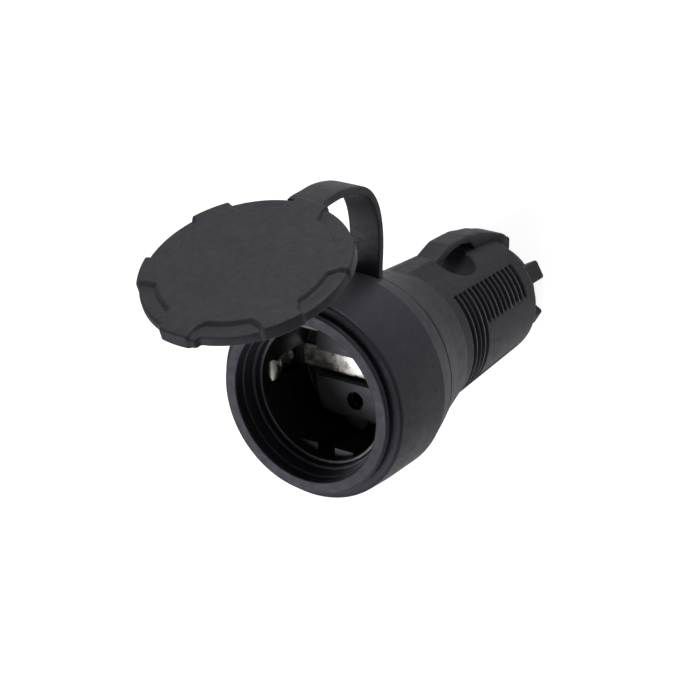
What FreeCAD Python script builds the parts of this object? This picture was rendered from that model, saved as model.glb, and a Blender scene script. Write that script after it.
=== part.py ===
import FreeCAD, Part
import math
import os

os.makedirs("parts", exist_ok=True)
V = FreeCAD.Vector

# Inline socket connector, standing on its cable end, mouth up.
# Origin: axis of the body at the rear faces of the gland lugs. +Z runs to the mouth, +Y to the
# strap and the hanging bar. All stations below are depths behind the mouth plane, in mm.

# Overall
TOTAL = 115.0                 # mouth plane above the lug faces
X_AXIS = V(1, 0, 0)
Y_AXIS = V(0, 1, 0)
Z_AXIS = V(0, 0, 1)
FIT = 0.05                    # running fit, radial
SEAT = 0.1                    # location fit, radial

# Mouth and bell
MOUTH_R = 24.5                # bore at the face
BEAD_R = 27.1                 # bead behind the face
BEAD_END = 1.5
GROOVE_R = 25.4               # groove between bead and shoulder
SHOULDER = 3.3                # front edge of the shoulder
SHOULDER_R = 27.4
BELL_FRONT_R = 29.7
BELL_FRONT = 4.9
BELL_MID_R = 30.5
BELL_MID = 10.0
RIM_R = 31.6                  # crisp edge of the bell
RIM = 26.1
PART_R = 30.0                 # parting line between sleeve and housing
PARTING = 33.8
LINE_GAP = 0.35               # width of the parting line
LINE_DEPTH = 0.7
LIP = 3.5                     # sealing lip inside the mouth
LIP_R = 23.9
LIP_END = 7.0
LIP_END_R = 23.3

# Insert
INSERT_R = 22.4               # outside of the cup
INSERT_RIM = 8.5
CUP_R = 20.9                  # recess radius
FLOOR = 31.3                  # bottom of the moat around the pin blocks
INSERT_END = 33.8
BLOCK_TOP = 27.0              # face that carries a pin hole
BLOCK_HALF = 14.0             # half length of a pin block across
BLOCK_NEAR = 4.2              # block edge beside the earth strip
BLOCK_FAR = 14.7
PIN_OFFSET = 9.5              # pins are 19 mm apart
PIN_R = 2.9
FLANGE_R = 26.8
FLANGE_TOP = 28.6
FLANGE_END = 31.0
GUIDE_TOP = 11.5              # front of the guide ledges
GUIDE_HALF = 9.5
GUIDE_SLOT = 3.0              # half width of the slot between two ledges
GUIDE_FLAT = 18.0             # height of a ledge above the axis

# Earth strip
STRIP_W = 7.0
STRIP_T = 0.8
CLIP_X = 19.0                 # clip plane beside the recess
CLIP_TIP = 12.5
BUMP = 18.0                   # contact bump depth
BUMP_X = 16.3

# Contacts and terminals
TUBE_R = 3.7
TUBE_BORE = 2.45              # 4.8 mm pin with a running fit
TUBE_FRONT = 29.0
TUBE_END = 47.0
PLATE_TOP = 33.8
PLATE_END = 37.3
PLATE_R = 20.0
TERM = 8.0                    # side of a terminal block
TERM_END = 57.0
EARTH_X = 11.5                # earth rivet and terminal beside the axis
PLATE_SCREW_X = 10.0          # plate screws run into the pin blocks
WIRE_R = 1.7
SCREW_R = 1.5                 # M3
HEAD_R = 2.6
SMALL_R = 1.2                 # M2.5
SMALL_HEAD_R = 2.0

# Housing
SPIGOT_R = 27.0 - SEAT
BORE_R = 27.0                 # sleeve bore over flange and spigot
CONE_END = 52.3
CONE_END_R = 24.2
GRIP_FRONT_R = 23.5
GRIP_END = 103.0
GRIP_END_R = 20.3
TAIL = 106.6
TAIL_R = 17.5
WALL = 3.2
GROOVES = 15
GROOVE_START = 56.2
GROOVE_PITCH = 3.2
GROOVE_W = 2.1
GROOVE_DEPTH = 1.4
LONG_GROOVES = 4              # the first ones run on round the underside
RIB_LOW = 13.0                # end angles of the short grooves
RIB_HIGH = 52.0

# Hanging bar on top
BAR_HALF = 4.2
SADDLE_SPAN = 18.0            # degrees either side of the top
SADDLE_TOP = 25.3
SCOOP_R = 10.2                # finger pocket under the bar
SCOOP_HALF = 10.5

# Cable gland
GLAND_BORE = 12.0             # thread bore in the housing tail
NUT_R = 15.6
NUT_FRONT = TAIL + 0.3
NUT_END = 111.5
LUGS = 6
LUG_HALF = 3.2
LUG_R = 17.4
CABLE_R = 5.6
SEAL_TOP = 95.5
SEAL_END = 102.5
THRUST_END = 104.0

# Cord clamp
CLAMP_S = 71.0                # depth of the bridge
CLAMP_HALF = 4.5
CLAMP_X = 9.0
CLAMP_Y = 3.0                 # underside of the bridge
CLAMP_T = 3.5

# Lid and strap
LID_R = 29.8
LID_PLATE = 2.0
SKIRT_END = 1.9               # skirt depth past the mouth plane when shut
LID_SEAT = 0.1                # gap under the shut lid
SKIRT_R = BEAD_R + 0.5        # clear of the bead over the whole swing
RING_R = 22.6                 # stiffening ring under the plate
RING_END = 1.6
LANDS = 6
LAND_HALF = 10.5              # degrees
RECESS_R = 26.3
RECESS_T = 1.1
TAB_R = 31.7
TAB_SPAN = 13.0               # degrees either side
OPEN_ANGLE = 69.5             # lid as pictured, from shut
PIVOT_S = 22.55               # pole of the swing: depth and height
PIVOT_Y = 43.4
STRAP_W = 10.4
STRAP_T = 2.6
COLLAR_R = 28.2
COLLAR_S = 32.3


def at(radius, depth):
    """Point of a turned profile: distance from the axis and depth behind the mouth."""
    return V(radius, 0, TOTAL - depth)


def side(depth, height, x=0.0):
    """Point in a plane beside the middle plane: depth behind the mouth, height above the axis."""
    return V(x, height, TOTAL - depth)


def rounded_wire(points):
    """Closed wire; points come as (vector, corner radius)."""
    corners = []
    count = len(points)
    for i, (p, radius) in enumerate(points):
        if radius <= 0:
            corners.append((p, None, p))
            continue
        a = (points[i - 1][0] - p).normalize()
        b = (points[(i + 1) % count][0] - p).normalize()
        half = a.getAngle(b) / 2
        run = radius / math.tan(half)
        centre = p + (a + b).normalize() * (radius / math.sin(half))
        middle = centre + (p - centre).normalize() * radius
        corners.append((p + a * run, middle, p + b * run))
    edges = []
    for i in range(count):
        start, middle, end = corners[i]
        if middle is not None:
            edges.append(Part.Arc(start, middle, end).toShape())
        following = corners[(i + 1) % count][0]
        if (following - end).Length > 1e-6:
            edges.append(Part.makeLine(end, following))
    return Part.Wire(edges)


def turned(profile, angle=360, start=0.0):
    """Solid of revolution from (radius, depth[, corner radius]) points."""
    wire = rounded_wire([(at(p[0], p[1]), p[2] if len(p) > 2 else 0) for p in profile])
    face = Part.Face(wire)
    if start:
        face.rotate(V(0, 0, 0), Z_AXIS, start)
    return face.revolve(V(0, 0, 0), Z_AXIS, angle)


def slab(outline, half_width, x=0.0):
    """Prism across X from (depth, height[, corner radius]) points."""
    wire = rounded_wire([(side(p[0], p[1], x - half_width), p[2] if len(p) > 2 else 0)
                         for p in outline])
    return Part.Face(wire).extrude(V(2 * half_width, 0, 0))


def post(outline, near, far):
    """Prism along the axis from (x, y[, corner radius]) points, between two depths."""
    wire = rounded_wire([(V(p[0], p[1], TOTAL - far), p[2] if len(p) > 2 else 0)
                         for p in outline])
    return Part.Face(wire).extrude(V(0, 0, far - near))


def block(x0, x1, y0, y1, near, far, corner=0.0):
    return post([(x0, y0, corner), (x1, y0, corner), (x1, y1, corner), (x0, y1, corner)],
                near, far)


def rod(radius, near, far, x=0.0, y=0.0):
    return Part.makeCylinder(radius, far - near, V(x, y, TOTAL - far))


def tube(outer, inner, near, far, x=0.0, y=0.0):
    return rod(outer, near, far, x, y).cut(rod(inner, near - 1, far + 1, x, y))


def round_about(shape, count, first=0.0):
    """The same shape repeated about the axis."""
    copies = []
    for i in range(count):
        copy = shape.copy()
        copy.rotate(V(0, 0, 0), Z_AXIS, first + 360.0 * i / count)
        copies.append(copy)
    return copies


def mirrored(shape):
    return shape.mirror(V(0, 0, 0), X_AXIS)


def screw(head_r, shaft_r, head_top, head_depth, tip, x, y):
    """Pan head screw along the axis with a cross slot; the head is on the mouth side."""
    body = rod(head_r, head_top, head_top + head_depth, x, y)
    body = body.fuse(rod(shaft_r, head_top + head_depth, tip, x, y))
    slot = block(-head_r * 0.7, head_r * 0.7, -0.3, 0.3, head_top - 1, head_top + head_depth * 0.6)
    cross = slot.copy()
    cross.rotate(V(0, 0, 0), Z_AXIS, 90)
    for cut in (slot, cross):
        cut.translate(V(x, y, 0))
        body = body.cut(cut)
    return body.removeSplitter()


def front_sleeve():
    """Rubber bell: bead, groove, shoulder and flare outside, lip and relief inside."""
    mouth_floor = LIP_END + 5.0
    body = turned([
        (MOUTH_R, 0, 0.4), (BEAD_R, 0, 0.8), (BEAD_R, BEAD_END, 0.3),
        (GROOVE_R, BEAD_END + 0.3, 0.3), (GROOVE_R, SHOULDER - 0.3, 0.3),
        (SHOULDER_R, SHOULDER, 0.4), (BELL_FRONT_R, BELL_FRONT, 1.6),
        (BELL_MID_R, BELL_MID, 6.0), (RIM_R, RIM, 0.5),
        (PART_R + 0.1, PARTING - LINE_GAP / 2),
        (PART_R - LINE_DEPTH, PARTING - LINE_GAP / 2), (PART_R - LINE_DEPTH, PARTING),
        (COLLAR_R + SEAT, PARTING), (COLLAR_R + SEAT, COLLAR_S), (BORE_R, COLLAR_S),
        (BORE_R, mouth_floor + 1.5, 1.0), (INSERT_R + SEAT, mouth_floor),
        (INSERT_R + SEAT, LIP_END), (LIP_END_R, LIP_END, 0.2), (LIP_R, LIP, 0.3),
        (MOUTH_R, LIP),
    ])
    rib = block(INSERT_R + 0.3, BORE_R + 1.0, -1.0, 1.0, mouth_floor - 0.5, FLANGE_TOP)
    body = body.fuse(round_about(rib, 8, 22.5))
    notch_half = STRAP_W / 2 + 0.15
    notch = block(-notch_half, notch_half, BORE_R - 0.5, RIM_R + 2, COLLAR_S - 1.7, PARTING + 1)
    return body.cut(notch).removeSplitter()


def pin_blocks():
    """One of the two raised blocks of the recess floor, with its half-round foot."""
    plate = post([
        (-BLOCK_HALF, -BLOCK_NEAR, 0.5), (BLOCK_HALF, -BLOCK_NEAR, 0.5),
        (BLOCK_HALF, -BLOCK_NEAR - 3.4, 1.0), (BLOCK_HALF - 2.0, -BLOCK_FAR, 1.5),
        (-BLOCK_HALF + 2.0, -BLOCK_FAR, 1.5), (-BLOCK_HALF, -BLOCK_NEAR - 3.4, 1.0),
    ], BLOCK_TOP, FLOOR + 0.5)
    step = post([
        (-BLOCK_HALF - 1.6, -BLOCK_NEAR, 0.5), (BLOCK_HALF + 1.6, -BLOCK_NEAR, 0.5),
        (BLOCK_HALF + 1.2, -BLOCK_NEAR - 4.4, 1.0), (BLOCK_HALF - 2.4, -BLOCK_FAR - 1.8, 1.5),
        (-BLOCK_HALF + 2.4, -BLOCK_FAR - 1.8, 1.5), (-BLOCK_HALF - 1.2, -BLOCK_NEAR - 4.4, 1.0),
    ], BLOCK_TOP + 1.9, FLOOR + 0.5)
    foot = rod(3.8, BLOCK_TOP + 1.2, FLOOR + 0.5, 0, -BLOCK_FAR - 0.6)
    return plate.fuse([step, foot])


def socket_insert():
    """Contact carrier: cup with flange, pin blocks, guide ledges and clip windows."""
    body = turned([
        (CUP_R, INSERT_RIM, 0.5), (INSERT_R, INSERT_RIM, 0.5), (INSERT_R, FLANGE_TOP),
        (FLANGE_R, FLANGE_TOP, 0.3), (FLANGE_R, FLANGE_END, 0.3), (INSERT_R, FLANGE_END),
        (INSERT_R, INSERT_END), (0, INSERT_END), (0, FLOOR), (CUP_R, FLOOR, 0.6),
    ])
    low = pin_blocks()
    high = low.copy()
    high.rotate(V(0, 0, 0), Z_AXIS, 180)
    body = body.fuse([low, high])
    ledge = block(GUIDE_SLOT, GUIDE_HALF, -CUP_R - 1, -GUIDE_FLAT, GUIDE_TOP, FLOOR + 0.5)
    ledge = ledge.common(rod(INSERT_R - 0.2, GUIDE_TOP, FLOOR + 0.5))
    ledges = [ledge, mirrored(ledge)]
    for one in list(ledges):
        turned_one = one.copy()
        turned_one.rotate(V(0, 0, 0), Z_AXIS, 180)
        ledges.append(turned_one)
    body = body.fuse(ledges)
    for y in (-PIN_OFFSET, PIN_OFFSET):
        body = body.cut(rod(PIN_R, BLOCK_TOP - 1, INSERT_END + 1, 0, y))
        body = body.cut(rod(TUBE_R + SEAT, TUBE_FRONT, INSERT_END + 1, 0, y))
    window = block(CUP_R - 2.5, INSERT_R + 1, -STRIP_W / 2 - 0.4, STRIP_W / 2 + 0.4,
                   CLIP_TIP - 1.0, FLANGE_TOP - 0.6)
    body = body.cut([window, mirrored(window)])
    for x in (-EARTH_X, EARTH_X):
        body = body.cut(rod(SMALL_R, FLOOR - 1, INSERT_END + 1, x, 0))
    for x, y in plate_screw_places():
        body = body.cut(rod(SMALL_R, BLOCK_TOP + 2.0, INSERT_END + 1, x, y))
    for x, y in flange_screw_places():
        body = body.cut(rod(SMALL_R + SEAT, FLANGE_TOP - 1, FLANGE_END + 1, x, y))
    return body.removeSplitter()


def plate_screw_places():
    return [(-PLATE_SCREW_X, PIN_OFFSET), (PLATE_SCREW_X, -PIN_OFFSET)]


def flange_screw_places():
    radius = (INSERT_R + BORE_R) / 2
    return [(radius * math.cos(math.radians(a)), radius * math.sin(math.radians(a)))
            for a in (0, 180)]


def earth_strip():
    """Spring strip across the floor with an upright clip and a contact bump at each side."""
    z0, t = FLOOR, STRIP_T
    half = [(0, 0), (CLIP_X - 2.2, 0), (CLIP_X, 2.2), (CLIP_X, 8.6), (BUMP_X, FLOOR - BUMP),
            (CLIP_X - 0.4, FLOOR - CLIP_TIP)]
    bends = [0, 1.4, 1.4, 2.0, 1.6, 0]
    outer = [(V(x, 0, TOTAL - z0 + up), r) for (x, up), r in zip(half, bends)]
    back = []
    count = len(half)
    for i in range(count - 1, -1, -1):
        x, up = half[i]
        before = half[max(i - 1, 0)]
        after = half[min(i + 1, count - 1)]
        ax, ay = x - before[0], up - before[1]
        bx, by = after[0] - x, after[1] - up
        la, lb = math.hypot(ax, ay), math.hypot(bx, by)
        if la == 0:
            nx, ny = -by / lb, bx / lb
        elif lb == 0:
            nx, ny = -ay / la, ax / la
        else:
            mx, my = -ay / la - by / lb, ax / la + bx / lb
            scale = 2.0 / (mx * mx + my * my)
            nx, ny = mx * scale, my * scale
        bend = 0 if bends[i] == 0 else (0.6 if i != 4 else 2.2)
        back.append((V(x + nx * t, 0, TOTAL - z0 + up + ny * t), bend))
    face = Part.Face(rounded_wire(outer + back))
    face.translate(V(0, -STRIP_W / 2, 0))
    right = face.extrude(V(0, STRIP_W, 0))
    finger_slot = block(BUMP_X - 3, CLIP_X + 3, -0.4, 0.4, CLIP_TIP - 1, BUMP + 7.0)
    right = right.cut(finger_slot)
    strip = right.fuse(mirrored(right))
    strip = strip.cut(rod(SMALL_R + 0.4, FLOOR - 3, FLOOR + 1, -EARTH_X))
    return strip.cut(rod(SMALL_R, FLOOR - 3, FLOOR + 1, EARTH_X)).removeSplitter()


def contact(y):
    """Slotted contact tube with a collar that seats on the back plate."""
    body = tube(TUBE_R, TUBE_BORE, TUBE_FRONT + 0.2, TUBE_END, 0, y)
    body = body.cut(block(-0.35, 0.35, y - 6, y + 6, TUBE_FRONT - 1, TUBE_END - 6))
    return body.removeSplitter()


def terminal(x, y, front, wire_side):
    """Terminal block with a wire bore from the rear and a threaded hole from one side."""
    body = block(x - TERM / 2, x + TERM / 2, y - TERM / 2, y + TERM / 2, front, TERM_END, 0.6)
    body = body.cut(rod(WIRE_R, front + 1.5, TERM_END + 1, x, y))
    hole = Part.makeCylinder(SCREW_R, TERM, V(x, y, TOTAL - TERM_END + 4.0),
                             V(wire_side[0], wire_side[1], 0))
    return body.cut(hole).removeSplitter()


def terminal_screw(x, y, wire_side):
    """Slotted terminal screw seated in the side of its block."""
    direction = V(wire_side[0], wire_side[1], 0)
    base = V(x, y, TOTAL - TERM_END + 4.0)
    shaft = Part.makeCylinder(SCREW_R, TERM / 2 - WIRE_R - 0.2 + 1.0,
                              base + direction * (WIRE_R + 0.2), direction)
    head = Part.makeCylinder(HEAD_R, 1.8, base + direction * (TERM / 2), direction)
    slot = Part.makeBox(0.7, 2 * HEAD_R + 1, 1.2,
                        V(-0.35, -HEAD_R - 0.5, TERM / 2 + 1.0))
    turn = FreeCAD.Rotation(V(0, 0, 1), direction)
    slot.Placement = FreeCAD.Placement(base, turn)
    return shaft.fuse(head).cut(slot).removeSplitter()


def back_plate():
    """Closing plate behind the insert floor, holding the contacts and the terminals."""
    plate = rod(PLATE_R, PLATE_TOP, PLATE_END)
    for y in (-PIN_OFFSET, PIN_OFFSET):
        plate = plate.cut(rod(TUBE_R + FIT, PLATE_TOP - 1, PLATE_END + 1, 0, y))
    plate = plate.cut(rod(SMALL_R, PLATE_TOP - 1, PLATE_END + 1, EARTH_X))
    for x, y in plate_screw_places():
        plate = plate.cut(rod(SMALL_R + SEAT, PLATE_TOP - 1, PLATE_END + 1, x, y))
    return plate.removeSplitter()


def plate_screw(x, y):
    """Screw from behind the plate into a pin block."""
    head = rod(SMALL_HEAD_R, PLATE_END, PLATE_END + 1.6, x, y)
    slot = block(-SMALL_HEAD_R * 0.8, SMALL_HEAD_R * 0.8, -0.3, 0.3, PLATE_END + 0.9,
                 PLATE_END + 2.0)
    slot.translate(V(x, y, 0))
    shaft = rod(SMALL_R, BLOCK_TOP + 2.5, PLATE_END, x, y)
    return head.fuse(shaft).cut(slot).removeSplitter()


def earth_rivet():
    """Rivet that clamps strip, insert floor and back plate to the earth terminal lug."""
    head_top = FLOOR - STRIP_T - 0.8
    head = rod(1.9, head_top, FLOOR - STRIP_T, EARTH_X)
    return head.fuse(rod(SMALL_R, FLOOR - STRIP_T, PLATE_END, EARTH_X)).removeSplitter()


def grip_radius(depth):
    share = (depth - CONE_END) / (GRIP_END - CONE_END)
    return GRIP_FRONT_R + (GRIP_END_R - GRIP_FRONT_R) * share


def grip_grooves():
    """Cutting rings for the ribbed grip: long ones first, then short ones on both flanks."""
    rings = []
    for i in range(GROOVES):
        depth = GROOVE_START + i * GROOVE_PITCH
        radius = grip_radius(depth)
        half = GROOVE_W / 2
        profile = [(radius + 1.5, depth - half - 0.5), (radius + 1.5, depth + half + 0.5),
                   (radius - GROOVE_DEPTH, depth + half - 0.5, 0.2),
                   (radius - GROOVE_DEPTH, depth - half + 0.5, 0.2)]
        if i < LONG_GROOVES:
            rings.append(turned(profile, 180 + 2 * RIB_HIGH, 180 - RIB_HIGH))
        else:
            for start in (RIB_LOW, 180 - RIB_HIGH, 250):
                span = 40 if start == 250 else RIB_HIGH - RIB_LOW
                rings.append(turned(profile, span, start))
    return rings


def hanging_bar():
    """Saddle on top of the grip, front leg and sloping bar over the finger opening."""
    saddle = turned([(18.0, 47.0), (SADDLE_TOP, 47.0, 2.0), (SADDLE_TOP, 77.0, 2.5),
                     (18.0, 83.0)], 2 * SADDLE_SPAN, 90 - SADDLE_SPAN)
    bar = slab([(70.0, 18.0), (70.0, SADDLE_TOP - 0.4), (75.5, 27.2, 1.5), (84.0, 27.7, 1.5),
                (105.0, 22.0, 1.6), (107.4, 18.6, 0.8), (104.0, 18.3), (102.0, 18.3),
                (99.0, 20.6, 1.0), (85.5, 24.4, 1.5), (80.5, 22.4, 1.0), (79.0, 18.0)],
               BAR_HALF)
    return saddle, bar


def rear_housing():
    """Cone, ribbed grip, pocket and hanging bar outside, wiring chamber inside."""
    outer = turned([
        (0, PARTING), (PART_R - LINE_DEPTH, PARTING), (PART_R - LINE_DEPTH, PARTING + LINE_GAP / 2),
        (PART_R, PARTING + LINE_GAP / 2, 0.1), (PART_R - 2.6, PARTING + 9.0, 8.0),
        (CONE_END_R, CONE_END, 0.5), (GRIP_FRONT_R, CONE_END + 0.9, 0.4),
        (GRIP_END_R, GRIP_END, 0.6), (TAIL_R, TAIL, 0.4), (0, TAIL),
    ])
    outer = outer.fuse(rod(SPIGOT_R, FLANGE_END, PARTING + 1))
    outer = outer.cut(grip_grooves())
    saddle, bar = hanging_bar()
    outer = outer.fuse(saddle)
    scoop = Part.makeCylinder(SCOOP_R, 2 * SCOOP_HALF, side(88.0, 25.4, -SCOOP_HALF), X_AXIS)
    outer = outer.cut(scoop).fuse(bar)
    chamber = turned([
        (0, FLANGE_END - 1), (INSERT_R + 0.8, FLANGE_END - 1), (INSERT_R + 0.8, 46.0, 2.0),
        (GRIP_FRONT_R - WALL - 3.0, 56.0, 2.0), (14.0, 84.0, 4.0), (10.0, 90.0), (0, 90.0),
    ])
    inside = chamber.fuse(rod(CABLE_R + 1.0, 88.0, SEAL_TOP + 1)).fuse(rod(GLAND_BORE, SEAL_TOP, TAIL + 1))
    outer = outer.cut(inside)
    for x, y in flange_screw_places():
        outer = outer.cut(rod(SMALL_R, FLANGE_END - 1, FLANGE_END + 7, x, y))
    outer = outer.fuse(clamp_seat())
    for x in (-CLAMP_X, CLAMP_X):
        outer = outer.cut(Part.makeCylinder(SCREW_R, 10.0, side(CLAMP_S, -6.0, x), Y_AXIS))
    return outer.removeSplitter()


def clamp_seat():
    """Two pads and a hollowed step on the chamber wall, under the clamp bridge."""
    seat = block(-5.5, 5.5, -20.0, -3.0, CLAMP_S - 5, CLAMP_S + 5, 0.5)
    seat = seat.cut(rod(CABLE_R, CLAMP_S - 6, CLAMP_S + 6))
    pads = [block(x - 3.0, x + 3.0, -20.0, CLAMP_Y, CLAMP_S - 5, CLAMP_S + 5, 0.5)
            for x in (-CLAMP_X, CLAMP_X)]
    return seat.fuse(pads).common(rod(18.6, CLAMP_S - 6, CLAMP_S + 6))


def clamp_bar():
    """Bridge that presses a cord onto the hollowed step."""
    near, far = CLAMP_S - CLAMP_HALF, CLAMP_S + CLAMP_HALF
    body = block(-12.0, 12.0, CLAMP_Y, CLAMP_Y + CLAMP_T, near, far, 0.8)
    body = body.cut(rod(CABLE_R, near - 1, far + 1))
    for x in (-CLAMP_X, CLAMP_X):
        body = body.cut(Part.makeCylinder(SCREW_R + SEAT, 8.0, side(CLAMP_S, CLAMP_Y - 2, x),
                                          Y_AXIS))
    return body.removeSplitter()


def clamp_screw(x):
    """Screw from the bridge down into its pad."""
    top = CLAMP_Y + CLAMP_T
    head = Part.makeCylinder(HEAD_R, 1.8, side(CLAMP_S, top, x), Y_AXIS)
    shaft = Part.makeCylinder(SCREW_R, 9.5, side(CLAMP_S, top - 9.5, x), Y_AXIS)
    slot = Part.makeBox(2 * HEAD_R + 1, 1.2, 0.7,
                        side(CLAMP_S + 0.35, top + 1.0, x - HEAD_R - 0.5))
    return head.fuse(shaft).cut(slot).removeSplitter()


def gland_nut():
    """Clamping nut: threaded spigot, ring and six lugs at the cable end."""
    body = turned([
        (CABLE_R + 0.8, THRUST_END, 0.4), (GLAND_BORE - FIT, THRUST_END, 0.4),
        (GLAND_BORE - FIT, NUT_FRONT), (NUT_R, NUT_FRONT, 0.5), (NUT_R, NUT_END, 0.8),
        (CABLE_R + 0.8, NUT_END, 0.8),
    ])
    lug = block(NUT_R - 3.4, LUG_R, -LUG_HALF, LUG_HALF, NUT_FRONT + 0.6, TOTAL, 1.0)
    return body.fuse(round_about(lug, LUGS, 30.0)).removeSplitter()


def gland_seal():
    """Rubber bush that the nut squeezes onto a cord."""
    return turned([
        (CABLE_R, SEAL_TOP), (GLAND_BORE - SEAT, SEAL_TOP, 0.5), (GLAND_BORE - SEAT, SEAL_END, 0.5),
        (CABLE_R, SEAL_END),
    ])


def thrust_ring():
    return tube(GLAND_BORE - SEAT, CABLE_R + 0.6, SEAL_END, THRUST_END)


def lid_shut():
    """Lid in its shut place: plate with lands and recesses, skirt, stiffening ring, lift tab."""
    under = -LID_SEAT
    top = under - LID_PLATE
    body = turned([
        (0, top), (LID_R, top, 0.5), (LID_R, SKIRT_END, 0.5), (SKIRT_R, SKIRT_END, 0.3),
        (SKIRT_R, under), (RING_R, under), (RING_R, RING_END, 0.4), (RING_R - 1.6, RING_END, 0.4),
        (RING_R - 1.6, under), (0, under),
    ])
    tab = turned([(LID_R - 1.0, top + 0.2), (TAB_R, top + 0.2, 0.6), (TAB_R, under + 1.0, 0.6),
                  (LID_R - 1.0, under + 1.0)], 2 * TAB_SPAN, 270 - TAB_SPAN)
    body = body.fuse(tab)
    step = 360.0 / LANDS
    span = step - 2 * LAND_HALF
    recess = turned([(RECESS_R, top - 1), (TAB_R + 1, top - 1), (TAB_R + 1, top + RECESS_T),
                     (RECESS_R, top + RECESS_T, 0.3)], span, 90 + LAND_HALF)
    trim = turned([(LID_R - 0.5, top - 1), (TAB_R + 1, top - 1), (TAB_R + 1, SKIRT_END + 1),
                   (LID_R - 0.5, SKIRT_END + 1)], span, 90 + LAND_HALF)
    body = body.cut(round_about(recess, LANDS)).cut(round_about(trim, LANDS))
    return body.removeSplitter()


def opened(shape):
    """Swing a shape from the shut place to the pictured one."""
    out = shape.copy()
    out.rotate(side(PIVOT_S, PIVOT_Y), X_AXIS, -OPEN_ANGLE)
    return out


def opened_point(depth, height):
    """Depth and height of a point of the shut lid once it is open."""
    t = math.radians(OPEN_ANGLE)
    du, dv = depth - PIVOT_S, height - PIVOT_Y
    return (PIVOT_S + math.cos(t) * du + math.sin(t) * dv,
            PIVOT_Y - math.sin(t) * du + math.cos(t) * dv)


def strap_path():
    """Middle line of the strap, from inside the lid rim over the arch to its foot."""
    rise = [opened_point(-0.6, LID_R - 0.9), opened_point(-0.6, LID_R + 1.0)]
    return rise + [(7.0, 60.3), (12.5, 60.7), (18.0, 60.1), (23.0, 58.9), (27.0, 56.2),
                   (29.9, 51.6), (31.7, 46.5), (32.6, 40.5), (32.5, 34.0), (32.2, 27.6)]


def lid_strap(lid):
    """Band of even thickness along the path, fused to the collar at the parting line."""
    line = Part.BSplineCurve()
    line.interpolate([side(s, y) for s, y in strap_path()])
    first, last = line.FirstParameter, line.LastParameter
    count = 16
    upper, lower = [], []
    for i in range(count + 1):
        t = first + (last - first) * i / count
        point = line.value(t)
        tangent = V(*line.tangent(t)[0])
        normal = V(0, -tangent.z, tangent.y).normalize() * (STRAP_T / 2)
        upper.append(point + normal)
        lower.append(point - normal)
    edges = []
    for row in (upper, list(reversed(lower))):
        curve = Part.BSplineCurve()
        curve.interpolate(row)
        edges.append(curve.toShape())
    edges.insert(1, Part.makeLine(upper[-1], lower[-1]))
    edges.append(Part.makeLine(lower[0], upper[0]))
    face = Part.Face(Part.Wire(edges))
    face.translate(V(-STRAP_W / 2, 0, 0))
    band = face.extrude(V(STRAP_W, 0, 0))
    collar = tube(COLLAR_R, SPIGOT_R + SEAT, COLLAR_S + 0.1, PARTING - 0.1)
    band = band.cut(rod(SPIGOT_R + SEAT, COLLAR_S - 5, PARTING + 5))
    return band.fuse(collar).cut(lid).removeSplitter()


def main():
    lid = opened(lid_shut())
    side_x, side_minus = (1, 0), (-1, 0)
    parts = {
        "front_sleeve": front_sleeve(),
        "rear_housing": rear_housing(),
        "socket_insert": socket_insert(),
        "back_plate": back_plate(),
        "earth_strip": earth_strip(),
        "earth_rivet": earth_rivet(),
        "contact_upper": contact(PIN_OFFSET),
        "contact_lower": contact(-PIN_OFFSET),
        "terminal_upper": terminal(0, PIN_OFFSET, TUBE_END, side_x),
        "terminal_lower": terminal(0, -PIN_OFFSET, TUBE_END, side_x),
        "terminal_earth": terminal(EARTH_X, 0, PLATE_END, side_x),
        "terminal_screw_upper": terminal_screw(0, PIN_OFFSET, side_x),
        "terminal_screw_lower": terminal_screw(0, -PIN_OFFSET, side_x),
        "terminal_screw_earth": terminal_screw(EARTH_X, 0, side_x),
        "clamp_bar": clamp_bar(),
        "clamp_screw_left": clamp_screw(-CLAMP_X),
        "clamp_screw_right": clamp_screw(CLAMP_X),
        "gland_nut": gland_nut(),
        "gland_seal": gland_seal(),
        "thrust_ring": thrust_ring(),
        "lid": lid,
        "lid_strap": lid_strap(lid),
    }
    for name, (x, y) in zip(("left", "right"), plate_screw_places()):
        parts["plate_screw_" + name] = plate_screw(x, y)
    for name, (x, y) in zip(("right", "left"), flange_screw_places()):
        parts["flange_screw_" + name] = screw(SMALL_HEAD_R, SMALL_R, FLANGE_TOP - 1.5, 1.5,
                                              FLANGE_END + 6.5, x, y)
    for name, shape in parts.items():
        shape.exportStep("parts/" + name + ".step")


main()
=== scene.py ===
import math

import bpy
import numpy as np
from mathutils import Matrix


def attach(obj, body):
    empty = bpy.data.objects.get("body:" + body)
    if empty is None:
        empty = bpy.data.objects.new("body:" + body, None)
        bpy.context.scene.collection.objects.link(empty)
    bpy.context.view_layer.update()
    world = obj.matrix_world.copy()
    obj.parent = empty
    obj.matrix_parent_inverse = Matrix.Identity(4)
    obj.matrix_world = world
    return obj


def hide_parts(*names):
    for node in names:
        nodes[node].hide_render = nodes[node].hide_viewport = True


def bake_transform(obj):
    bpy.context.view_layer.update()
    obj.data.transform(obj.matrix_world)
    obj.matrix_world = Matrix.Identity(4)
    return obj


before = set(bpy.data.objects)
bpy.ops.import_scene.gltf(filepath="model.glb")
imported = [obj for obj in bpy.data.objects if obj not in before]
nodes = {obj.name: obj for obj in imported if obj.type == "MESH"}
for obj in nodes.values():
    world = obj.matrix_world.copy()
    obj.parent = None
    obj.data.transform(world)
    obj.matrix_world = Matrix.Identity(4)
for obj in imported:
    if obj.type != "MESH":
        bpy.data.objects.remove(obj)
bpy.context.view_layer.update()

MM = 0.001
TOTAL = 115.0          # mouth plane above the floor, mm


# Materials

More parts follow.
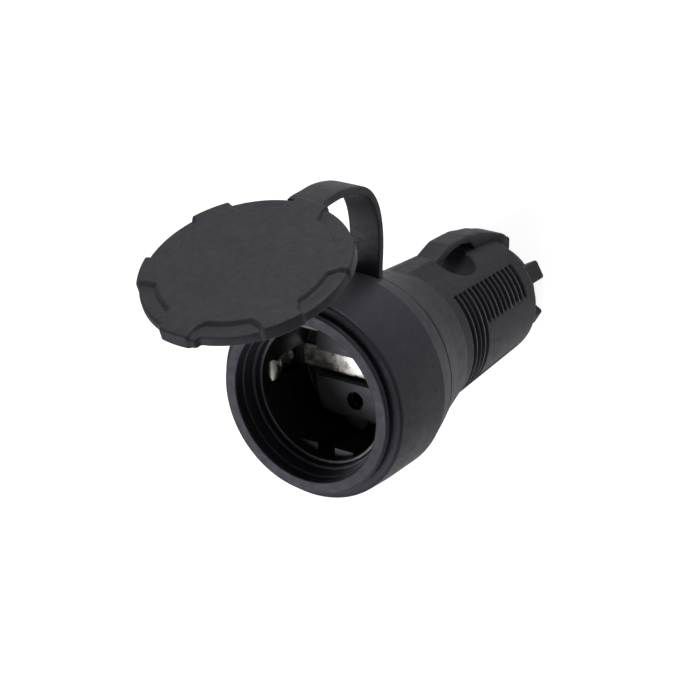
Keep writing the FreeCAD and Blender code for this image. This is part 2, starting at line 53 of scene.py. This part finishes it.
class Shader:
    """A node tree with a Principled shader and short calls to fill it."""

    NOISE_LOW, NOISE_HIGH = 0.3, 0.7      # the part of a noise value that is spread out

    def __init__(self, name, colour, roughness, metallic=0.0):
        self.mat = bpy.data.materials.new(name)
        self.mat.use_nodes = True
        self.tree = self.mat.node_tree
        self.shader = self.tree.nodes["Principled BSDF"]
        self.put(self.shader, "Base Color", (*colour, 1))
        self.put(self.shader, "Roughness", roughness)
        self.put(self.shader, "Metallic", metallic)
        if not metallic:
            self.put(self.shader, "Specular Tint", (0.86, 0.85, 1.0, 1))
        self.coords = self.tree.nodes.new("ShaderNodeTexCoord").outputs["Object"]
        self.normal = None

    def put(self, node, socket, value):
        node.inputs[socket].default_value = value

    def link(self, a, b):
        self.tree.links.new(a, b)

    def noise(self, scale, detail=2.0, rough=0.5, stretch=None):
        """Noise value over the object's own coordinates, in features per metre."""
        node = self.tree.nodes.new("ShaderNodeTexNoise")
        self.put(node, "Scale", scale)
        self.put(node, "Detail", detail)
        self.put(node, "Roughness", rough)
        vector = self.coords
        if stretch:
            mapping = self.tree.nodes.new("ShaderNodeMapping")
            self.put(mapping, "Scale", stretch)
            self.link(vector, mapping.inputs["Vector"])
            vector = mapping.outputs["Vector"]
        self.link(vector, node.inputs["Vector"])
        return node.outputs["Fac"]

    def tint(self, value, low, high):
        """Base colour runs between two colours along a noise value."""
        ramp = self.tree.nodes.new("ShaderNodeValToRGB")
        for element, position, colour in zip(ramp.color_ramp.elements,
                                             (self.NOISE_LOW, self.NOISE_HIGH), (low, high)):
            element.position = position
            element.color = (*colour, 1)
        self.link(value, ramp.inputs["Fac"])
        self.link(ramp.outputs["Color"], self.shader.inputs["Base Color"])

    def rough(self, value, low, high):
        """Roughness runs between two numbers along a noise value."""
        node = self.tree.nodes.new("ShaderNodeMapRange")
        for socket, number in (("From Min", self.NOISE_LOW), ("From Max", self.NOISE_HIGH),
                               ("To Min", low), ("To Max", high)):
            self.put(node, socket, number)
        self.link(value, node.inputs["Value"])
        self.link(node.outputs["Result"], self.shader.inputs["Roughness"])

    def bump(self, value, depth, strength=1.0):
        """Relief of the given depth in metres, on top of any relief already there."""
        node = self.tree.nodes.new("ShaderNodeBump")
        self.put(node, "Distance", depth)
        self.put(node, "Strength", strength)
        self.link(value, node.inputs["Height"])
        if self.normal:
            self.link(self.normal, node.inputs["Normal"])
        self.normal = node.outputs["Normal"]
        self.link(self.normal, self.shader.inputs["Normal"])


def grey(level, blue=1.06):
    return (level, level, level * blue)


def rubber(name, level, grain=0.00008, grain_scale=2600.0, roughness=0.5, blue=1.1):
    """Satin rubber: fine moulded grain, faint cloudy tone, slight gloss changes."""
    s = Shader(name, grey(level), roughness)
    s.put(s.shader, "Sheen Weight", 0.22)
    s.put(s.shader, "Sheen Roughness", 0.35)
    s.put(s.shader, "Sheen Tint", (0.88, 0.87, 1.0, 1))
    s.tint(s.noise(90.0, 3.0), grey(level * 0.88, blue), grey(level * 1.14, blue))
    s.rough(s.noise(420.0, 3.0), roughness - 0.06, roughness + 0.07)
    s.bump(s.noise(grain_scale, 3.0, 0.6), grain)
    s.bump(s.noise(260.0), grain * 1.4, 0.5)
    return s.mat


def plastic(name, level, roughness=0.36):
    """Hard moulded plastic with flow tone and a fine eroded finish."""
    blue, grain = 1.03, 0.000012
    s = Shader(name, grey(level, blue), roughness)
    s.tint(s.noise(70.0), grey(level * 0.9, blue), grey(level * 1.12, blue))
    s.rough(s.noise(700.0, 3.0), roughness - 0.05, roughness + 0.08)
    s.bump(s.noise(3800.0), grain)
    return s.mat


def metal(name, colour, roughness, depth=0.000006):
    """Plated metal with drawn lines, small tone changes and soft smudges."""
    line = (1.0, 14.0, 14.0)
    s = Shader(name, colour, roughness, metallic=1.0)
    s.tint(s.noise(150.0, 3.0), tuple(c * 0.86 for c in colour),
           tuple(min(1, c * 1.08) for c in colour))
    s.rough(s.noise(300.0, 3.0), roughness - 0.06, roughness + 0.12)
    s.bump(s.noise(900.0, 3.0, 0.6, line), depth)
    return s.mat


sleeve_mat = rubber("sleeve rubber", 0.014, blue=1.5)
grip_mat = rubber("grip rubber", 0.012, blue=1.3)
lid_mat = rubber("lid rubber", 0.020, blue=1.2, grain=0.00016, grain_scale=2000.0, roughness=0.6)
strap_mat = rubber("strap rubber", 0.014, blue=1.2)
seal_mat = rubber("seal rubber", 0.015)
insert_mat = plastic("insert plastic", 0.010)
inner_mat = plastic("inner plastic", 0.012)
nut_mat = plastic("nut plastic", 0.014, roughness=0.45)
ring_mat = plastic("ring plastic", 0.35)
nickel_mat = metal("nickel plate", (0.84, 0.80, 0.74), 0.24, depth=0.0000015)
steel_mat = metal("zinc plated steel", (0.62, 0.62, 0.63), 0.34)
brass_mat = metal("contact brass", (0.10, 0.07, 0.035), 0.5)

FINISH = {                                # the nodes that aren't steel
    "front_sleeve": sleeve_mat, "rear_housing": grip_mat, "lid": lid_mat,
    "lid_strap": strap_mat, "gland_seal": seal_mat, "socket_insert": insert_mat,
    "back_plate": inner_mat, "clamp_bar": inner_mat, "gland_nut": nut_mat,
    "thrust_ring": ring_mat, "earth_strip": nickel_mat,
    "contact_upper": brass_mat, "contact_lower": brass_mat,
    "terminal_upper": brass_mat, "terminal_lower": brass_mat, "terminal_earth": brass_mat,
}
for name, obj in nodes.items():
    obj.data.materials.clear()
    obj.data.materials.append(FINISH.get(name, steel_mat))


# Helpers for the new pieces. Lengths are in mm: x to the right, y up to the strap, and s is
# the depth behind the mouth plane.

def place(x, y, s):
    """Points of the row frame, in metres, from fields of side place, height and depth."""
    return np.stack(np.broadcast_arrays(x, y, TOTAL - s), -1) * MM


def grid_object(name, points, material, closed_u=False, caps=True):
    """Mesh from an (nu, nv, 3) array of points, closed round v; along u it is closed too, or
    it has a cap at both ends. The faces are turned so that the volume is positive."""
    nu, nv = points.shape[:2]
    i, j = np.meshgrid(np.arange(nu if closed_u else nu - 1), np.arange(nv), indexing="ij")
    i, j = i.ravel(), j.ravel()
    k, n = (j + 1) % nv, (i + 1) % nu
    quads = np.stack([i * nv + j, i * nv + k, n * nv + k, n * nv + j], -1)
    verts = points.reshape(-1, 3)
    corner = verts[quads] - verts.mean(axis=0)
    volume = np.einsum("ij,ij->i", corner[:, 0], np.cross(corner[:, 1], corner[:, 2])).sum() \
        + np.einsum("ij,ij->i", corner[:, 0], np.cross(corner[:, 2], corner[:, 3])).sum()
    turn = -1 if volume < 0 else 1
    faces = quads[:, ::turn].tolist()
    if caps:
        faces.append(list(range(nv))[::-turn])
        faces.append(list(range((nu - 1) * nv, nu * nv))[::turn])
    mesh = bpy.data.meshes.new(name)
    mesh.from_pydata(verts.tolist(), [], faces)
    mesh.update()
    obj = bpy.data.objects.new(name, mesh)
    bpy.context.scene.collection.objects.link(obj)
    mesh.materials.append(material)
    mesh.polygons.foreach_set("use_smooth", np.ones(len(mesh.polygons), bool))
    return obj


def full_turn(count):
    return np.linspace(0, 2 * np.pi, count, endpoint=False)


def superellipse(count, power):
    """Round-cornered unit section: two fields that run between -1 and 1 over one turn."""
    cos, sin = np.cos(full_turn(count)), np.sin(full_turn(count))
    return np.sign(cos) * np.abs(cos) ** power, np.sign(sin) * np.abs(sin) ** power


def spline(knots, count):
    """Natural cubic spline through the knots, by their running length, at even steps."""
    knots = np.asarray(knots, float)
    t = np.concatenate([[0], np.cumsum(np.linalg.norm(np.diff(knots, axis=0), axis=1))])
    h = np.diff(t)
    n = len(t)
    a = np.eye(n)
    b = np.zeros((n, knots.shape[1]))
    for i in range(1, n - 1):
        a[i, i - 1:i + 2] = h[i - 1], 2 * (h[i - 1] + h[i]), h[i]
        b[i] = 6 * ((knots[i + 1] - knots[i]) / h[i] - (knots[i] - knots[i - 1]) / h[i - 1])
    m = np.linalg.solve(a, b)
    x = np.linspace(0, t[-1], count)
    i = np.clip(np.searchsorted(t, x, side="right") - 1, 0, n - 2)
    before, after, step = (x - t[i])[:, None], (t[i + 1] - x)[:, None], h[i][:, None]
    return (m[i] * after ** 3 + m[i + 1] * before ** 3) / (6 * step) \
        + (knots[i] / step - m[i] * step / 6) * after \
        + (knots[i + 1] / step - m[i + 1] * step / 6) * before


def swept(path, through):
    """Places (path, section, 2) beside a flat path, at the given distances square to it."""
    step = np.gradient(path, axis=0)
    step /= np.linalg.norm(step, axis=1)[:, None]
    normal = np.stack([-step[:, 1], step[:, 0]], -1)
    return path[:, None] + normal[:, None] * through[:, None]


def rounded(corners, steps=6, guard=0.15):
    """Closed outline through (depth, radius, fillet) corners. Every fillet is an arc, with a
    guard point on both sides so that the faces between the arcs shade flat."""
    c = np.array([p[:2] for p in corners], float)
    points = []
    for i, corner in enumerate(corners):
        a, b, d = c[i - 1], c[i], c[(i + 1) % len(c)]
        u, w = (a - b) / np.linalg.norm(a - b), (d - b) / np.linalg.norm(d - b)
        half = math.acos(np.clip(u @ w, -1, 1)) / 2
        reach = min(np.linalg.norm(a - b), np.linalg.norm(d - b)) * 0.4
        back = min(corner[2] / math.tan(half), reach)
        radius = back * math.tan(half)
        middle = (u + w) / np.linalg.norm(u + w)
        side = np.array([middle[1], -middle[0]])
        side = side if side @ w > 0 else -side
        share = np.linspace(-1, 1, steps)[:, None] * (math.pi / 2 - half)
        arc = b + middle * radius / math.sin(half) \
            + radius * (np.sin(share) * side - np.cos(share) * middle)
        edge = min(guard, reach * 0.2)
        points += [b + u * (back + edge), *arc, b + w * (back + edge)]
    return np.array(points)


def smoothstep(x, low, high):
    t = np.clip((x - low) / (high - low), 0, 1)
    return t * t * (3 - 2 * t)


def soft_min(a, b, k):
    """Smaller of two fields with a round of about k where they meet."""
    h = np.clip(0.5 + 0.5 * (b - a) / k, 0, 1)
    return b + (a - b) * h - k * h * (1 - h)


# Strap. The lid swings as the solids have it: depth and height of the pole, pictured angle
PIVOT_S, PIVOT_Y, OPEN = 22.55, 43.4, math.radians(69.5)
LID_R = 29.8
STRAP_W, STRAP_T = 10.5, 2.6


def opened(depth, height):
    """Depth and height that a point of the shut lid has in the pictured place."""
    du, dv = depth - PIVOT_S, height - PIVOT_Y
    return (PIVOT_S + math.cos(OPEN) * du + math.sin(OPEN) * dv,
            PIVOT_Y - math.sin(OPEN) * du + math.cos(OPEN) * dv)


def strap_band():
    """Band swept along the arch: the section is a flat superellipse, constant but for a small
    swelling where it leaves the lid and where it enters the parting line."""
    arch = spline([opened(0.2, LID_R - 0.5), opened(0.2, LID_R + 0.6), (6.6, 60.4),
                   (11.2, 60.75), (16.0, 60.4), (21.8, 59.2), (25.6, 57.5), (28.3, 55.0),
                   (30.6, 51.3), (32.1, 46.5), (32.8, 40.5), (32.6, 34.0), (32.2, 28.0)], 90)
    across, through = superellipse(40, 0.22)
    share = np.linspace(0, 1, len(arch))[:, None]
    swell = 1 + 0.10 * np.exp(-(share / 0.05) ** 2) + 0.06 * np.exp(-((1 - share) / 0.05) ** 2)
    point = swept(arch, through * STRAP_T / 2)
    return place(across * STRAP_W / 2 * swell, point[..., 1], point[..., 0])


strap = grid_object("strap_band", strap_band(), strap_mat)
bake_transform(strap)
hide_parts("lid_strap")


# Front sleeve

def sleeve_bell():
    """Outline of the bell, square at its shoulder, turned about the axis: the point at angle a
    of an outline point (s, r) is (r cos a, r sin a, s)."""
    outline = rounded([
        (0.0, 24.4, 0.5), (0.0, 28.3, 1.1), (1.6, 28.3, 0.4), (1.8, 27.0, 0.4),
        (3.0, 27.0, 0.3), (3.1, 28.6, 0.3), (3.6, 31.0, 2.0), (13.0, 31.5, 6.0),
        (26.1, 31.58, 0.5), (33.6, 29.4, 0.3), (33.65, 28.6, 0.1), (33.9, 28.6, 0.1),
        (33.9, 27.0, 0.1), (13.4, 27.0, 1.0), (12.0, 22.5, 0.2), (7.0, 22.5, 0.1),
        (7.0, 23.3, 0.2), (3.5, 23.9, 0.3), (3.4, 24.5, 0.3)])
    s, r, turn = outline[:, 0:1], outline[:, 1:2], full_turn(240)
    return place(r * np.cos(turn), r * np.sin(turn), s)


sleeve = grid_object("sleeve_bell", sleeve_bell(), sleeve_mat, closed_u=True, caps=False)
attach(sleeve, "root")
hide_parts("front_sleeve")

# Rear housing. Angles of the grooves are degrees above the middle plane
GROOVES, GROOVE_START, GROOVE_PITCH = 14, 59.2, 2.79
GROOVE_W, GROOVE_DEPTH, LONG_GROOVES = 1.7, 1.4, 4
GROOVE_LOW, GROOVE_HIGH, GROOVE_UNDER = 15.5, 47.6, -33.5
SADDLE_FLAT, SADDLE_SPAN = 3.0, 30.0          # half width on top, degrees to the foot
POCKET_Y, POCKET_S = 23.7, 75.5               # centre of the pocket's ellipsoid
POCKET_RX, POCKET_RY, POCKET_RS = 15, 8.5, 10
TAIL_R, HOUSING_WALL = 12.05, 2.0
CENTRES = GROOVE_START + GROOVE_PITCH * np.arange(GROOVES)


def housing_rows():
    """Depths and radii of the plain turned housing, as columns, closer at the grooves."""
    outline = rounded([
        (33.95, 28.6, 0.1), (34.2, 29.2, 0.3), (42.4, 26.5, 3.0), (52.3, 24.1, 0.5),
        (53.2, 23.05, 0.4), (102.6, 20.6, 2.6), (106.6, 17.6, 0.9), (106.6, TAIL_R, 0.1),
        (33.95, TAIL_R, 0.1)], steps=5)[:-14]    # less the two corners in the bore
    outline = outline[np.argsort(outline[:, 0], kind="stable")]
    depth, radius = outline.T
    offsets = np.array([-0.15, 0.0, 0.15, 0.5])
    rows = np.concatenate([(CENTRES[:, None] - GROOVE_W / 2 + offsets).ravel(),
                           (CENTRES[:, None] + GROOVE_W / 2 - offsets).ravel(),
                           np.linspace(36, 58, 23), np.linspace(63, 87, 33),
                           np.linspace(97.5, 101, 4)])
    rows = np.sort(rows[(rows > 35) & (rows < 101.3)])
    rows = rows[np.append(True, np.diff(rows) > 0.02)]
    rows = np.concatenate([outline[(depth < 36) | (np.abs(depth - 52.7) < 1.2)],
                           np.stack([rows, np.interp(rows, depth, radius)], -1)])
    rows = np.concatenate([rows[np.argsort(rows[:, 0], kind="stable")], outline[depth > 101.5]])
    return rows[:, 0:1], rows[:, 1:2]


def housing_skin(turn):
    """Outside of the housing as a radius over depth s and angle a (90 degrees is the top):
    r = max(R(s), saddle(s, a)) less the grooves, cut by the lower root of the pocket's
    ellipsoid (x/RX)^2 + ((y-POCKET_Y)/RY)^2 + ((s-POCKET_S)/RS)^2 = 1."""
    s, base = housing_rows()
    cos, sin = np.cos(turn), np.sin(turn)

    tilt = np.abs((np.degrees(turn) - 90 + 180) % 360 - 180)
    tilt_r, span = np.radians(tilt), math.radians(SADDLE_SPAN)
    top = np.interp(s, [50, 68, 80], [24.6, 24.5, 23.4])
    dx = (base - 0.4) * math.sin(span) - SADDLE_FLAT
    dy = (base - 0.4) * math.cos(span) - top
    flank = (SADDLE_FLAT * dy - top * dx) / (np.sin(tilt_r) * dy - np.cos(tilt_r) * dx)
    ridge = soft_min(top / np.maximum(np.cos(tilt_r), 0.3), flank, 0.25)
    ridge = np.where(tilt < SADDLE_SPAN + 3, ridge, 0)
    ends = smoothstep(s, 49.2, 50.4) * (1 - smoothstep(s, 79, 81))
    radius = base + np.maximum(ridge - base, 0) * ends

    away = np.abs(s - CENTRES)
    index = away.argmin(axis=1)[:, None]
    across = 1 - smoothstep(away.min(axis=1)[:, None], GROOVE_W / 2 - 0.15, GROOVE_W / 2 + 0.1)
    above = np.degrees(np.arcsin(sin))
    long_one = 1 - smoothstep(above, GROOVE_HIGH, GROOVE_HIGH + 1.3)
    upper = smoothstep(above, GROOVE_LOW, GROOVE_LOW + 1.2) * long_one
    lower = 1 - smoothstep(above, GROOVE_UNDER, GROOVE_UNDER + 1.3)
    groove = np.where(index < LONG_GROOVES, long_one, np.maximum(upper, lower))
    radius = radius - GROOVE_DEPTH * across * groove

    a = (cos / POCKET_RX) ** 2 + (sin / POCKET_RY) ** 2
    b = -2 * POCKET_Y * sin / POCKET_RY ** 2
    c = (POCKET_Y / POCKET_RY) ** 2 + ((s - POCKET_S) / POCKET_RS) ** 2 - 1
    root = b * b - 4 * a * c
    low_root = (-b - np.sqrt(np.maximum(root, 0))) / (2 * a)
    low_root = np.where((root > 0) & (sin > 0), low_root, 99)
    return s, soft_min(radius, low_root, 0.5)


def housing():
    """Skin of the housing, its tail bore and a hollow inside that keeps HOUSING_WALL."""
    turn = full_turn(360)
    s, radius = housing_skin(turn)
    inner_s, inner_r = np.array([(106.5, TAIL_R), (95.0, TAIL_R), (94.6, 15.5), (53.0, 18.5),
                                 (46.0, 21.5), (34.0, 26.0)]).T[..., None]
    outside = radius[np.abs(s - inner_s.T).argmin(axis=0)]
    radius = np.concatenate([radius, np.minimum(inner_r, outside - HOUSING_WALL)])
    return place(radius * np.cos(turn), radius * np.sin(turn), np.concatenate([s, inner_s]))


def hanging_bar():
    """Bar over the pocket: at every depth a superellipse between the lower and the upper
    outline, wider at its foot."""
    s = np.linspace(61.0, 109.2, 96)
    high = np.interp(s, [61, 74.5, 86.5, 96, 105, 108.2, 109.2],
                     [21.9, 26.7, 26.5, 24.9, 22.0, 20.9, 19.6])
    low = np.interp(s, [61, 66.5, 68, 77, 82.3, 88, 92, 109.2],
                    [18.0, 18.5, 21.4, 24.2, 24.6, 23.3, 18.4, 17.9])
    kernel = np.hanning(7) / np.hanning(7).sum()
    high, low = (np.convolve(np.pad(edge, 3, "edge"), kernel, "valid")[:, None]
                 for edge in (high, low))
    half = 3.9 + 1.5 * (1 - smoothstep(high, 21.0, 24.0))
    across, through = superellipse(48, 0.3)
    return place(half * across, (high + low) / 2 + (high - low) / 2 * through, s[:, None])


shell = grid_object("housing_skin", housing(), grip_mat, closed_u=True, caps=False)
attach(shell, "root")
bar = grid_object("hanging_bar", hanging_bar(), grip_mat)
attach(bar, "root")
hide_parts("rear_housing")

# Lid. Depths are those of the shut lid, angles are degrees
LAND_AT, LAND_HALF, RECESS_R, RECESS_T = 84.0, 11.25, 24.4, 1.15
FACE, UNDERSIDE, SKIRT = -2.1, -0.1, 1.9
FACE_BEND, SKIRT_BEND = 0.9, 0.5
TAB_AT, TAB_REACH = 268.0, 1.4
LIFT = 0.35                                   # the photo's lid sits a little higher


def lid_disc():
    """Lid in its pictured place: a turned plate whose face sinks by RECESS_T beyond RECESS_R
    between six lands, with round ends, and whose rim is longer at the tab."""
    turn = full_turn(420)
    deg, flat = np.degrees(turn), 0 * turn
    from_land = np.abs((deg - LAND_AT + 30) % 60 - 30)
    window = smoothstep(from_land, LAND_HALF - 0.9, LAND_HALF + 0.9)
    tab = 1 - smoothstep(np.abs(deg - TAB_AT), 10.0, 12.0)
    rim = LID_R - 0.5 * window + TAB_REACH * tab
    face = np.concatenate([np.linspace(2, 20, 7), np.linspace(21, RECESS_R - 1.3, 4),
                           np.linspace(RECESS_R - 1.1, RECESS_R + 1.5, 14),
                           np.linspace(RECESS_R + 1.9, 28.0, 4)])[:, None]
    corner = smoothstep(LAND_HALF + 5 - from_land, 0, 5) * 2.6
    edge = RECESS_R + corner * (from_land < LAND_HALF + 5)
    sink = RECESS_T * smoothstep(face, edge - 0.7, edge + 0.7) * window
    arc = np.linspace(0, np.pi / 2, 6)[:, None]
    back = np.array([(SKIRT, 28.8), (1.8, 28.6), (0.1, 28.6), (UNDERSIDE, 28.4),
                     (UNDERSIDE, 22.8), (0.1, 22.6), (1.4, 22.6), (1.6, 22.4), (1.6, 21.2),
                     (1.4, 21.0), (0.1, 21.0), (UNDERSIDE, 20.8), (UNDERSIDE, 2.0)])
    depth = np.concatenate([FACE + sink, FACE + RECESS_T * window + FACE_BEND * (1 - np.cos(arc)),
                            SKIRT - SKIRT_BEND * (1 - np.sin(arc)) + flat, back[:, 0:1] + flat])
    radius = np.concatenate([face + flat, rim - FACE_BEND * (1 - np.sin(arc)),
                             rim - SKIRT_BEND * (1 - np.cos(arc)), back[:, 1:2] + flat])
    s, y = opened(depth, radius * np.sin(turn))
    return place(radius * np.cos(turn), y + LIFT, s)


lid = grid_object("lid_disc", lid_disc(), lid_mat)
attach(lid, "lid")
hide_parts("lid")

# Earth strip
STRIP_HALF, STRIP_T = 3.5, 0.8
BUMP_S, BUMP_HALF, BUMP_CROWN = 16.4, 2.0, 1.1


def earth_band():
    """Nickel strip: a band of even thickness along the floor and up both sides. Bends are
    rounded by a spline through the corner points, and the contact bump near each tip has a
    crown of BUMP_CROWN exp(-((s-BUMP_S)/BUMP_HALF)^2) (1-(y/STRIP_HALF)^2)."""
    right = spline([(0, 31.3), (12.0, 31.3), (20.6, 31.2), (22.9, 30.3), (23.8, 28.2),
                    (23.9, 23.0), (22.6, 19.4), (20.7, 16.6), (20.9, 15.2), (23.2, 13.8)], 70)
    left = right[:0:-1] * [-1, 1]
    across, through = superellipse(24, 0.15)
    point = swept(np.concatenate([left, right]), through * STRIP_T / 2)
    x, s, y = point[..., 0], point[..., 1] - STRIP_T / 2, across * STRIP_HALF
    crown = BUMP_CROWN * np.exp(-((s - BUMP_S) / BUMP_HALF) ** 2) * (1 - (y / STRIP_HALF) ** 2)
    return place(x - np.sign(x) * crown, y, s)


strip = grid_object("earth_band", earth_band(), nickel_mat)
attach(strip, "root")
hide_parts("earth_strip")


# Camera, floor and light

def stand(data, x, y, z, spot):
    """New camera or lamp object at a spot in metres, with the given axes; it looks along -z."""
    obj = bpy.data.objects.new(data.name, data)
    bpy.context.scene.collection.objects.link(obj)
    matrix = np.eye(4)
    matrix[:3] = np.stack([x, y, z, spot], -1)
    obj.matrix_world = Matrix(matrix.tolist())
    return obj


def camera():
    """Looks at the mouth from the right and above, the strap side up, as in the photograph."""
    azimuth, elevation, distance = math.radians(33.8), math.radians(22.9), 517.0
    shift_right, shift_up, focal_px, picture_px = 10.44, 18.32, 1800.0, 680
    sa, ca = math.sin(azimuth), math.cos(azimuth)
    se, ce = math.sin(elevation), math.cos(elevation)
    right = np.array([ca, 0, -sa])
    back = np.array([sa * ce, se, ca * ce])
    up = np.cross(back, right)
    spot = right * shift_right + up * shift_up + back * distance + [0, 0, TOTAL]
    data = bpy.data.cameras.new("camera")
    data.sensor_width = 36.0
    data.lens = focal_px * data.sensor_width / picture_px
    data.clip_start = 0.01
    bpy.context.scene.camera = stand(data, right, up, back, spot * MM)
    return right, up, back


def lamp(name, direction, distance, size, power):
    """Area lamp that faces the middle of the object from a direction of the row frame."""
    middle = np.array([0, 10, 90]) * MM
    z = np.array(direction) / np.linalg.norm(direction)
    x = np.cross([0, 0, 1], z)
    x /= np.linalg.norm(x)
    data = bpy.data.lights.new(name, "AREA")
    data.shape = "DISK"
    data.size = size
    data.energy = power
    stand(data, x, np.cross(z, x), z, middle + z * distance)


right, up, back = camera()
lamp("top", (0.0, 0.98, 0.1), 0.8, 0.4, 3.6)
lamp("bottom", back * 0.25 - up * 1.0 - right * 0.2, 0.8, 0.6, 1.4)
lamp("left front", (-0.5, -0.4, 0.77), 0.9, 0.5, 3.2)
lamp("front", (-0.12, -0.15, 1.0), 0.9, 0.3, 1.0)


def floor_material():
    """Plain grey that takes the object's shadow, with a glow on top: strong for the camera,
    weaker in reflections and none for the light that falls on the object."""
    level, glow_strength, reflected = 0.4, 0.9, 0.4
    material = bpy.data.materials.new("floor")
    material.use_nodes = True
    tree = material.node_tree
    tree.nodes.clear()

    def combine(operation, a, b):
        node = tree.nodes.new("ShaderNodeMath")
        node.operation = operation
        tree.links.new(a, node.inputs[0])
        if isinstance(b, float):
            node.inputs[1].default_value = b
        else:
            tree.links.new(b, node.inputs[1])
        return node.outputs[0]

    rays = tree.nodes.new("ShaderNodeLightPath").outputs
    seen = combine("MAXIMUM", rays["Is Camera Ray"],
                   combine("MULTIPLY", rays["Is Glossy Ray"], reflected))
    diffuse = tree.nodes.new("ShaderNodeBsdfDiffuse")
    diffuse.inputs["Color"].default_value = (level, level, level, 1)
    glow = tree.nodes.new("ShaderNodeEmission")
    glow.inputs["Color"].default_value = (1, 1, 1, 1)
    tree.links.new(combine("MULTIPLY", seen, glow_strength), glow.inputs["Strength"])
    both = tree.nodes.new("ShaderNodeAddShader")
    tree.links.new(diffuse.outputs[0], both.inputs[0])
    tree.links.new(glow.outputs[0], both.inputs[1])
    out = tree.nodes.new("ShaderNodeOutputMaterial")
    tree.links.new(both.outputs[0], out.inputs["Surface"])
    return material


mesh = bpy.data.meshes.new("floor")
reach = 3.0
mesh.from_pydata([(-reach, -reach, 0), (reach, -reach, 0), (reach, reach, 0), (-reach, reach, 0)],
                 [], [(0, 1, 2, 3)])
mesh.materials.append(floor_material())
floor = bpy.data.objects.new("floor", mesh)
bpy.context.scene.collection.objects.link(floor)

# World: white for the camera, a low level for everything else
world = bpy.data.worlds.new("studio")
bpy.context.scene.world = world
world.use_nodes = True
tree = world.node_tree
background = tree.nodes["Background"]
background.inputs["Color"].default_value = (1, 1, 1, 1)
rays = tree.nodes.new("ShaderNodeLightPath").outputs
level = tree.nodes.new("ShaderNodeMapRange")
level.inputs["To Min"].default_value = 0.12
level.inputs["To Max"].default_value = 1.0
tree.links.new(rays["Is Camera Ray"], level.inputs["Value"])
tree.links.new(level.outputs["Result"], background.inputs["Strength"])

bpy.context.scene.view_settings.view_transform = "Standard"
